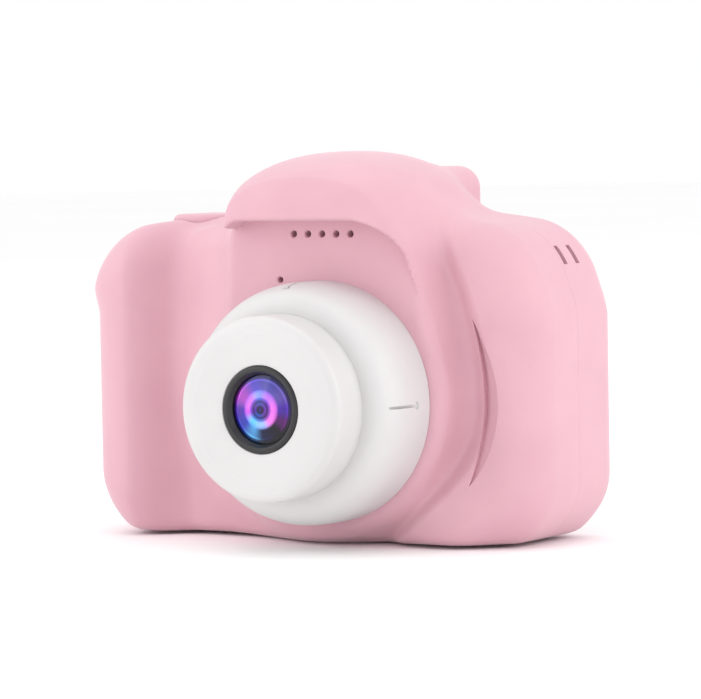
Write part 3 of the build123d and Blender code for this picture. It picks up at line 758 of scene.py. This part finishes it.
pipe_low, pipe_high = [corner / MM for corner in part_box("light_pipe")]
LIGHT_X = (pipe_low.x + pipe_high.x) / 2
LIGHT_Z = (pipe_low.z + pipe_high.z) / 2
SHUTTER_X = (shutter_low.x + shutter_high.x) / 2
SHUTTER_Y = (shutter_low.y + shutter_high.y) / 2
SHUTTER_RADIUS = 6.5
SCREEN_X = (screen_low.x + screen_high.x) / 2
SCREEN_Z = (screen_low.z + screen_high.z) / 2
SCREEN_WIDTH = screen_high.x - screen_low.x
SCREEN_HEIGHT = screen_high.z - screen_low.z
SCREEN_CORNER = 2.5
SCREEN_OPENING = (43.2, 33.2)  # hole through the rear skin behind the screen's cover
DISPLAY_HALF = (21.0, 15.6)
SCREW_X = 33.5
SCREW_Z = (7.5, 40.1)
SCREW_WELL = 2.1  # radii of a screw's well and of its hole
SCREW_HOLE = 1.15
LENS_OPENING = 8.4  # radius of the hole behind the lens
SOUND_Z = 45.5  # row of five sound holes under the hood
SOUND_PITCH = 2.4
SOUND_RADIUS = 0.5
MICROPHONE = (-1.0, 38.8, 0.45)  # x, z and radius
FRONT_CUT = (-12, -20)  # reach along Y of the small holes in the front
REAR_CUT = (8, 14)  # reach along Y of the openings in the rear
SIDE_CUT = (-45, -36)  # reach along X of the openings in the side
FAR = 60  # beyond the object on every side
EYECUP_POCKET = (EYECUP_X, 50.3, 13.0, 5.4, 2.0)  # x, z, width, height and corner radius
PORT_POCKET_Y = (0.6, 8.2)  # shallow seat for the port cover
PORT_POCKET_DEPTH = 1.3
USB_OPENING = ((2.4, 5.6), (25.6, 34.0))  # limits in y and in z
CARD_OPENING = ((3.7, 5.2), (11.2, 22.8))
RESET_HOLE = (4.5, 24.4, 0.5)  # y, z and radius
STRAP_ANGLE = 33.0  # degrees above X that the strap slots are cut at
STRAP_CENTRE = (30.6, 0, 38.6)  # where that line starts
STRAP_SLOTS = ((0.65, 1.75), (4.25, 5.35))  # limits in y of the slots beside the bar
STRAP_HALF_HEIGHT = 1.6


def shutter_cutter():
    """The round well for the shutter button, open above."""
    outline = inset_circle(SHUTTER_X, SHUTTER_Y, SHUTTER_RADIUS + 0.2, 96)
    return stack("hole", outline, [(0, 42.0), (0, FAR)], axis="z")


def skin_depth(x, z, low=-30.0, high=0.0):
    """How far forward the skin is over (x, z)."""
    for _ in range(40):
        middle = (low + high) / 2
        if housing(np.array([x, middle, z])) < 0:
            high = middle
        else:
            low = middle
    return high


def finger_recess():
    """Cutter for the crescent sunk into the right-hand panel."""
    middle_z, half, tip_x = 21.2, 11.9, 28.4
    steps = 48
    rings = []
    for k in range(steps + 1):
        t = -1 + 2 * k / steps
        bow = 1 - t * t
        z = middle_z + half * t
        inner = tip_x + 2.0 * bow
        outer = inner + 0.05 + 2.6 * bow ** 0.85
        inner_y = skin_depth(inner, z)
        outer_y = skin_depth(outer, z)
        depth = 0.25 + 0.75 * bow ** 0.6
        rings.append([(inner, inner_y - 3, z), (outer, outer_y - 3, z),
                      (outer, outer_y + 0.45 * depth, z), (inner, inner_y + depth, z)])
    return loft("finger_recess", rings)


def make_front():
    """The front shell, with its lens, sound and microphone holes and the crescent."""
    shell = housing_blank()
    boolean(shell, block("half", (-FAR, FAR), (-FAR, -SEAM), (-10, 80)), "INTERSECT")
    boolean(shell, hole(LENS_X, LENS_Z, LENS_OPENING, (BLOCK_FRONT + 6, BLOCK_FRONT - 4), count=96))
    for index in range(-2, 3):
        x = LENS_X + index * SOUND_PITCH
        boolean(shell, hole(x, SOUND_Z, SOUND_RADIUS, FRONT_CUT, 0.14, BLOCK_FRONT, 32))
    boolean(shell, hole(*MICROPHONE, FRONT_CUT, 0.14, BLOCK_FRONT, 32))
    boolean(shell, finger_recess())
    boolean(shell, shutter_cutter())
    return shell


def strap_cutters():
    """Two slots in the upper right corner and the tunnel that joins them behind the bar."""
    angle = math.radians(STRAP_ANGLE)
    out = np.array([math.cos(angle), 0, math.sin(angle)])
    along = np.array([0, 1.0, 0])
    up = np.array([-math.sin(angle), 0, math.cos(angle)])
    centre = np.array(STRAP_CENTRE)

    def cutter(out_range, y_range):
        corner = []
        for y in y_range:
            ring = []
            for a, b in ((0, -1), (1, -1), (1, 1), (0, 1)):
                ring.append(centre + out * out_range[a] + along * y + up * STRAP_HALF_HEIGHT * b)
            corner.append(ring)
        return loft("slot", corner)

    near, behind_bar, outside = 2.9, 4.3, 12.0
    tunnel = cutter((near, behind_bar), (STRAP_SLOTS[0][0], STRAP_SLOTS[1][1]))
    return [tunnel] + [cutter((near, outside), y_range) for y_range in STRAP_SLOTS]


def make_rear():
    """The rear shell, with its screen, keys, screws, eyecup pocket, sockets and strap slots."""
    shell = housing_blank()
    boolean(shell, block("half", (-FAR, FAR), (SEAM, FAR), (-10, 80)), "INTERSECT")
    boolean(shell, shutter_cutter())
    for side in (-1, 1):
        for z in SCREW_Z:
            boolean(shell, hole(side * SCREW_X, z, SCREW_WELL, (9.2, 15), 0.15, BODY_REAR))
            boolean(shell, hole(side * SCREW_X, z, SCREW_HOLE, (5, 14), count=32))
    recess = inset_rectangle(SCREEN_X, SCREEN_Z, SCREEN_WIDTH + 0.2, SCREEN_HEIGHT + 0.2, SCREEN_CORNER + 0.1)
    boolean(shell, stack("recess", recess, [(0, 11.9), (0, 12.85), (-0.3, 13.15), (-0.3, 14)]))
    opening = inset_rectangle(SCREEN_X, SCREEN_Z, *SCREEN_OPENING, 1.0)
    boolean(shell, stack("opening", opening, [(0, y) for y in REAR_CUT]))
    for x, z, radius in KEYS.values():
        boolean(shell, hole(x, z, radius + 0.2, REAR_CUT, 0.15, BODY_REAR))
    boolean(shell, hole(LIGHT_X, LIGHT_Z, 0.92, REAR_CUT, 0.1, BODY_REAR, 32))
    pocket = inset_rectangle(*EYECUP_POCKET)
    boolean(shell, stack("pocket", pocket, [(0, 14.8), (0, 15.8), (-0.4, 16.2)]))
    seat = inset_rectangle(
        sum(PORT_POCKET_Y) / 2, (cover_low.z + cover_high.z) / 2,
        PORT_POCKET_Y[1] - PORT_POCKET_Y[0], cover_high.z - cover_low.z - 2 + 0.4, 0.6, 4)
    seat_levels = [(0, SIDE_CUT[0]), (0, -HALF_WIDTH + PORT_POCKET_DEPTH)]
    boolean(shell, stack("recess", seat, seat_levels, axis="x"))
    boolean(shell, block("usb", SIDE_CUT, *USB_OPENING))
    boolean(shell, block("card", SIDE_CUT, *CARD_OPENING))
    boolean(shell, stack("reset", inset_circle(*RESET_HOLE, 32), [(0, x) for x in SIDE_CUT], axis="x"))
    for cutter in strap_cutters():
        boolean(shell, cutter)
    return shell


front = make_front()
front.name = front.data.name = "housing_front"
put(front, "camera_body", "pink_housing", PINK, "front_shell", field=housing)
rear = make_rear()
rear.name = rear.data.name = "housing_rear"
put(rear, "camera_body", "pink_housing", PINK, "rear_shell", field=housing)


# ---- the lens
BASE_FOOT = (base_high.x - base_low.x) / 2
BASE_RIM = BASE_FOOT - 0.8
BASE_FRONT = base_low.y
BARREL_RADIUS = (barrel_high.x - barrel_low.x) / 2
BARREL_FRONT = barrel_low.y
TRIM_RADIUS = (trim_high.x - trim_low.x) / 2
BORE = 11.1
FULLNESS = 2.8  # how square the lens base's curve is
BASE_DEPTH = 9.0
TRIM_SEAT = -30.2  # back of the black ring
TRIM_LIP = -32.6  # front of the lip that carries the glass
BARREL_FLOOR = -22.0
MARKS = ((0.0, -20.6, -26.4), (92.0, -25.8, -21.5))  # degrees round the base, start and end in y


def make_lens_base():
    """The thick disc: one full curve from its foot round to the barrel, and open behind."""
    swell = BASE_FOOT - BARREL_RADIUS
    profile = [(BASE_FOOT, BLOCK_FRONT)]
    for k in range(25):
        angle = math.pi / 2 * k / 24
        out = math.cos(angle) ** (2 / FULLNESS)
        forward = math.sin(angle) ** (2 / FULLNESS)
        profile.append((BARREL_RADIUS + swell * out, BASE_FRONT + BASE_DEPTH * (1 - forward)))
    profile += [(BORE, BASE_FRONT), (BORE, BASE_FRONT + 2.0), (BASE_RIM - 3.0, BASE_FRONT + 3.2),
                (BASE_FOOT - 2.0, BASE_FRONT + BASE_DEPTH), (BASE_FOOT - 2.0, BLOCK_FRONT)]
    return lathe("lens_base_disc", profile, segments=180)


def base_radius(y):
    """Radius of the lens base's outside at a place along its axis."""
    forward = min(max(1 - (y - BASE_FRONT) / BASE_DEPTH, 0.0), 1.0)
    return BARREL_RADIUS + (BASE_FOOT - BARREL_RADIUS) * (1 - forward ** FULLNESS) ** (1 / FULLNESS)


def make_mark(name, degrees, start, end, dot, depth=0.3):
    """Cutter for a line with a round dot at one end, sunk into the side of the lens base."""
    def on_side(turn, y, lift):
        r = base_radius(y) + lift
        angle = math.radians(degrees) + turn / BASE_RIM
        return (LENS_X + r * math.cos(angle), y, LENS_Z + r * math.sin(angle))

    def groove(part, half, from_y, to_y, count):
        rings = []
        for inset, lift in ((0.15, -depth), (0.0, -0.05), (0.0, 0.6)):
            outline = []
            for k in range(count):
                a = 2 * math.pi * k / count
                y = (from_y if math.cos(a) > 0 else to_y) + half * (1 - inset) * math.cos(a)
                outline.append(on_side(half * (1 - inset) * math.sin(a), y, lift))
            rings.append(outline)
        return loft(part, rings)

    line = groove(name, 0.2, start, end, 16)
    boolean(line, groove(name + "_dot", dot, start + 0.001, start, 32), "UNION")
    return line


def make_barrel():
    """The white barrel: an open tube with a rolled front edge and a seat for the black ring."""
    profile = rounded_profile([
        (BARREL_RADIUS, BASE_FRONT, 0), (BARREL_RADIUS, BARREL_FRONT, 1.9),
        (BARREL_RADIUS - 2.6, BARREL_FRONT, 1.2), (TRIM_RADIUS + 1.2, BARREL_FRONT + 0.35, 1.0),
        (TRIM_RADIUS + 0.02, BARREL_FRONT + 0.5, 0.15), (TRIM_RADIUS + 0.02, TRIM_SEAT, 0),
        (TRIM_RADIUS + 0.9, TRIM_SEAT, 0), (TRIM_RADIUS + 0.9, BARREL_FLOOR, 0),
        (BORE - 0.02, BARREL_FLOOR, 0), (BORE - 0.02, BASE_FRONT, 0),
    ], pieces=8)
    return lathe("lens_barrel_body", profile, segments=180)


def make_trim_ring():
    """The black ring, with a bevel inside and a lip behind the glass."""
    front_y = trim_low.y
    profile = rounded_profile([
        (TRIM_RADIUS, TRIM_SEAT, 0), (TRIM_RADIUS, front_y, 0.35), (5.45, front_y, 0.25),
        (GLASS_RADIUS, front_y + 0.75, 0.2), (GLASS_RADIUS, TRIM_LIP, 0),
        (4.3, TRIM_LIP, 0), (4.3, TRIM_SEAT, 0),
    ], pieces=6)
    return lathe("lens_black_ring", profile, segments=144)


lens_base = make_lens_base()
for degrees, start, end in MARKS:
    boolean(lens_base, make_mark("mark", degrees, start, end, 0.55))
put(lens_base, "camera_body", "white_lens", WHITE, "lens_base")
put(make_barrel(), "camera_body", "white_lens", WHITE, "lens_barrel")
put(make_trim_ring(), "camera_body", "black_trim", BLACK, "lens_trim_ring")


def crowned_glass(name, profile):
    """A round solid from (radius, y) circles about the lens axis, front to back."""
    rings = [[(x, y, z) for x, z in circle(LENS_X, LENS_Z, r, 96)] for r, y in profile]
    return loft(name, rings)


def make_window():
    """The outer glass, with a slight crown. It is opaque and wears the painted lens reflections, highlights
    and faint glow.
    """
    window_low, window_high = [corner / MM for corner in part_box("lens_window")]
    radius = (window_high.x - window_low.x) / 2
    front = trim_low.y + 0.25
    crown = 0.7
    steps = 12
    profile = []
    for k in range(steps):
        r = radius * (k + 1) / steps
        profile.append((r, front + crown * (r / radius) ** 2))
    return crowned_glass("lens_cover_glass", profile + [(radius, window_high.y)])


def make_front_lens():
    """The domed front lens, hidden behind the outer glass."""
    glass_low, glass_high = [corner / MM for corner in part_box("front_element")]
    radius = (glass_high.x - glass_low.x) / 2
    crown = glass_high.y - 1.0 - glass_low.y
    steps = 14
    profile = []
    for k in range(steps):
        angle = math.pi / 2 * (k + 1) / steps
        profile.append((radius * math.sin(angle), glass_low.y + crown * (1 - math.cos(angle))))
    return crowned_glass("lens_front_glass", profile + [(radius, glass_high.y)])


put(make_window(), "camera_body", "clear_window", PAINTED_LENS_LOOK, "lens_window")
put(make_front_lens(), "camera_body", "optical_glass", INNER_GLASS, "front_element")


# ---- shutter button, keys, port cover, screen
def make_shutter():
    """The round cap, its flange and the stem on its switch."""
    top = shutter_high.z - 0.4
    profile = rounded_profile([
        (0.001, 41.95, 0), (1.6, 41.95, 0.2), (1.6, 44.5, 0), (SHUTTER_RADIUS + 0.7, 44.5, 0.1),
        (SHUTTER_RADIUS + 0.7, 45.4, 0.1), (SHUTTER_RADIUS, 45.4, 0), (SHUTTER_RADIUS, top - 0.2, 1.0),
        (0.001, top, 0),
    ], pieces=8)
    return lathe("shutter_cap", profile, centre=(SHUTTER_X, SHUTTER_Y), axis="z", segments=128)


put(make_shutter(), "shutter", "pink_housing", PINK, "shutter_button")

KEY_TOP = 13.9
KEY_BACK = 10.0
FLANGE_TOP = 10.85


def make_key(name, x, z, radius):
    """A round key with a rounded edge and a flange that stays behind the skin."""
    profile = rounded_profile([
        (0.001, KEY_BACK, 0), (radius + 0.5, KEY_BACK, 0.1),
        (radius + 0.5, FLANGE_TOP, 0.1), (radius, FLANGE_TOP, 0),
        (radius, KEY_TOP - 0.1, 0.5), (0.001, KEY_TOP, 0),
    ], pieces=7)
    return lathe(name, profile, centre=(x, z), segments=96)


def symbol_outline(kind):
    """Plain generic shapes, in mm about a key's centre."""
    triangle = [(-0.85, -0.5), (0.85, -0.5), (0.0, 0.85)]
    if kind == "up":
        return [triangle]
    if kind == "down":
        return [[(a, -b) for a, b in triangle]]
    if kind == "left":
        return [[(-b, a) for a, b in triangle]]
    if kind == "right":
        return [[(b, a) for a, b in triangle]]
    if kind == "menu":
        return [[(-0.95, b - 0.13), (0.95, b - 0.13), (0.95, b + 0.13), (-0.95, b + 0.13)]
                for b in (-0.6, 0, 0.6)]
    if kind == "ok":
        return [circle(0, 0, 0.8, 32)]
    ring_angles = [math.radians(a) for a in range(125, 416, 10)]
    outer = [(1.05 * math.cos(a), 1.05 * math.sin(a)) for a in ring_angles]
    inner = [(0.78 * math.cos(a), 0.78 * math.sin(a)) for a in reversed(ring_angles)]
    return [outer + inner, [(-0.14, 0.15), (0.14, 0.15), (0.14, 1.2), (-0.14, 1.2)]]


def make_symbol(name, kind, x, z):
    """The raised symbol on a key, read from behind."""
    parts = []
    for outline in symbol_outline(kind):
        points = [(x - a, z + b) for a, b in outline]
        parts.append(stack(name, same_outline(points), [(0, KEY_TOP - 0.35), (0, KEY_TOP + 0.06)]))
    first = parts[0]
    for other in parts[1:]:
        boolean(first, other, "UNION")
    return first


for key_name, (x, z, radius) in KEYS.items():
    kind = key_name[:-4]
    key = make_key(kind + "_cap", x, z, radius)
    put(key, kind + "_press", "white_keys", KEY_WHITE, key_name)
    symbol = make_symbol(kind + "_symbol", kind, x, z)
    put(symbol, kind + "_press", "white_keys", SYMBOL)


HINGE = (-39.0, 1.4)  # x and y of the flap's hinge line
FLAP_LOW_Y = 1.1


def make_port_cover():
    """The soft flap: rounded outer edges, a round hinge edge and a finger notch."""
    z_low, z_high = cover_low.z + 1.0, cover_high.z - 1.0
    outer_x, inner_x = cover_low.x, cover_high.x
    centre_z = (z_low + z_high) / 2
    height = z_high - z_low

    def outline(inset):
        width = cover_high.y - FLAP_LOW_Y
        middle = (cover_high.y + FLAP_LOW_Y) / 2
        return rounded_rectangle(middle, centre_z, width - 2 * inset, height - 2 * inset, 0.5 - inset / 2, 6)

    levels = [(0.25, outer_x), (0.08, outer_x + 0.08), (0.0, outer_x + 0.25), (0.0, inner_x)]
    flap = stack("soft_port_cover", outline, levels, axis="x")
    hinge = stack("hinge", inset_circle(*HINGE, 0.59, 32), [(0, z_low), (0, z_high)], axis="z")
    boolean(flap, hinge, "UNION")
    pin = stack("pin", inset_circle(*HINGE, 0.4, 24), [(0, cover_low.z), (0, cover_high.z)], axis="z")
    boolean(flap, pin, "UNION")
    notch = stack("notch", inset_circle(outer_x - 0.35, cover_high.y + 0.1, 0.8, 32),
                  [(0, centre_z - 2.5), (0, centre_z + 2.5)], axis="z")
    boolean(flap, notch)
    return flap


put(make_port_cover(), "socket_flap", "soft_cover", COVER, "port_cover")


def make_screen():
    """The screen's cover, with a softened outer edge."""
    outline = inset_rectangle(SCREEN_X, SCREEN_Z, SCREEN_WIDTH, SCREEN_HEIGHT, SCREEN_CORNER)
    back, front_y = screen_low.y, screen_high.y
    levels = [(0, back), (0, front_y - 0.15), (0.05, front_y - 0.05), (0.15, front_y)]
    return stack("screen_glass", outline, levels)


SCREEN_FINISH = screen_finish("screen_display", (SCREEN_X, SCREEN_Z), DISPLAY_HALF, 0.8)
put(make_screen(), "camera_body", "screen_cover", SCREEN_FINISH, "lcd_window")

# ---- carried-over CAD nodes
for node_name, node in frame["nodes"].items():
    for entry in frame["record"]["materials"]:
        if node_name in entry.get("nodes", []):
            dress(node, SLOT_MATERIALS[entry["slot"]])

# ---- floor, lights and camera
FLOOR_RADIUS = 3.0  # in metres


def make_floor():
    """A pale disc just under the object."""
    rings = []
    for radius, z in ((FLOOR_RADIUS, -0.02), (FLOOR_RADIUS, 0.0), (FLOOR_RADIUS - 0.1, 0.0)):
        rings.append([(radius * math.cos(a) / MM, radius * math.sin(a) / MM, z / MM)
                      for a in np.arange(96) * 2 * math.pi / 96])
    floor = loft("floor", rings)
    finish = material("pale_floor", colour(254, 254, 254), colour(252, 252, 252), 0.85, 0.03, 4.0, 0.01,
                      patch=3.0)
    finish.node_tree.nodes["Principled BSDF"].inputs["Specular IOR Level"].default_value = 0.1
    dress(floor, finish)


make_floor()


def soft_light(name, place, target, size, power):
    """A white rectangular area light that faces the target."""
    data = bpy.data.lights.new(name, "AREA")
    data.shape = "RECTANGLE"
    data.size, data.size_y = size
    data.energy = power
    light = bpy.data.objects.new(name, data)
    light.location = place
    light.rotation_euler = (Vector(target) - Vector(place)).to_track_quat("-Z", "Y").to_euler()
    bpy.context.scene.collection.objects.link(light)


CAMERA_AZIMUTH = math.radians(31.36)
CAMERA_ELEVATION = math.radians(3.25)
CAMERA_ROLL = math.radians(-1.05)
CAMERA_DISTANCE = 0.6104
CAMERA_LENS = 210.0
SENSOR = 36.0
AIM_SIDE = 0.351  # the point aimed at, in mm: along the picture's right, and up
AIM_HEIGHT = 27.66

right = Vector((math.cos(CAMERA_AZIMUTH), math.sin(CAMERA_AZIMUTH), 0))
towards = Vector((math.sin(CAMERA_AZIMUTH) * math.cos(CAMERA_ELEVATION),
                  -math.cos(CAMERA_AZIMUTH) * math.cos(CAMERA_ELEVATION), math.sin(CAMERA_ELEVATION)))
ahead = Vector((towards.x, towards.y, 0)).normalized()
centre = Vector((0, 0, 0.028))
lift = Vector((0, 0, 0.12))
soft_light("left_softbox", centre - right * 0.55 + ahead * 0.10 + lift, centre, (0.5, 0.6), 1.15)
soft_light("right_softbox", centre + right * 0.50 + ahead * 0.20 + lift, centre, (0.5, 0.6), 1.1)
soft_light("low_fill", centre + ahead * 0.70 + Vector((0, 0, -0.01)), centre, (0.5, 0.03), 0.22)
soft_light("top_softbox", centre - ahead * 0.05 + Vector((0, 0, 0.6)), centre, (0.7, 0.7), 1.0)

world = bpy.data.worlds.new("studio")
world.use_nodes = True
world.node_tree.nodes["Background"].inputs["Color"].default_value = (1, 1, 1, 1)
world.node_tree.nodes["Background"].inputs["Strength"].default_value = 1.0
bpy.context.scene.world = world
bpy.context.scene.view_settings.view_transform = "Standard"
bpy.context.scene.view_settings.look = "None"

camera_data = bpy.data.cameras.new("camera")
camera_data.lens = CAMERA_LENS
camera_data.sensor_width = SENSOR
camera_data.sensor_fit = "HORIZONTAL"
camera_data.clip_start = 0.01
camera = bpy.data.objects.new("camera", camera_data)
bpy.context.scene.collection.objects.link(camera)
target = Vector((AIM_SIDE * math.cos(CAMERA_AZIMUTH), AIM_SIDE * math.sin(CAMERA_AZIMUTH), AIM_HEIGHT)) * MM
camera.location = target + towards * CAMERA_DISTANCE
camera.rotation_mode = "QUATERNION"
up_axis = towards.cross(right)
roll = (right * math.cos(CAMERA_ROLL) + up_axis * math.sin(CAMERA_ROLL)).normalized()
over = towards.cross(roll).normalized()
axes = Matrix((roll, over, towards)).transposed()
camera.rotation_quaternion = axes.to_quaternion()
bpy.context.scene.camera = camera
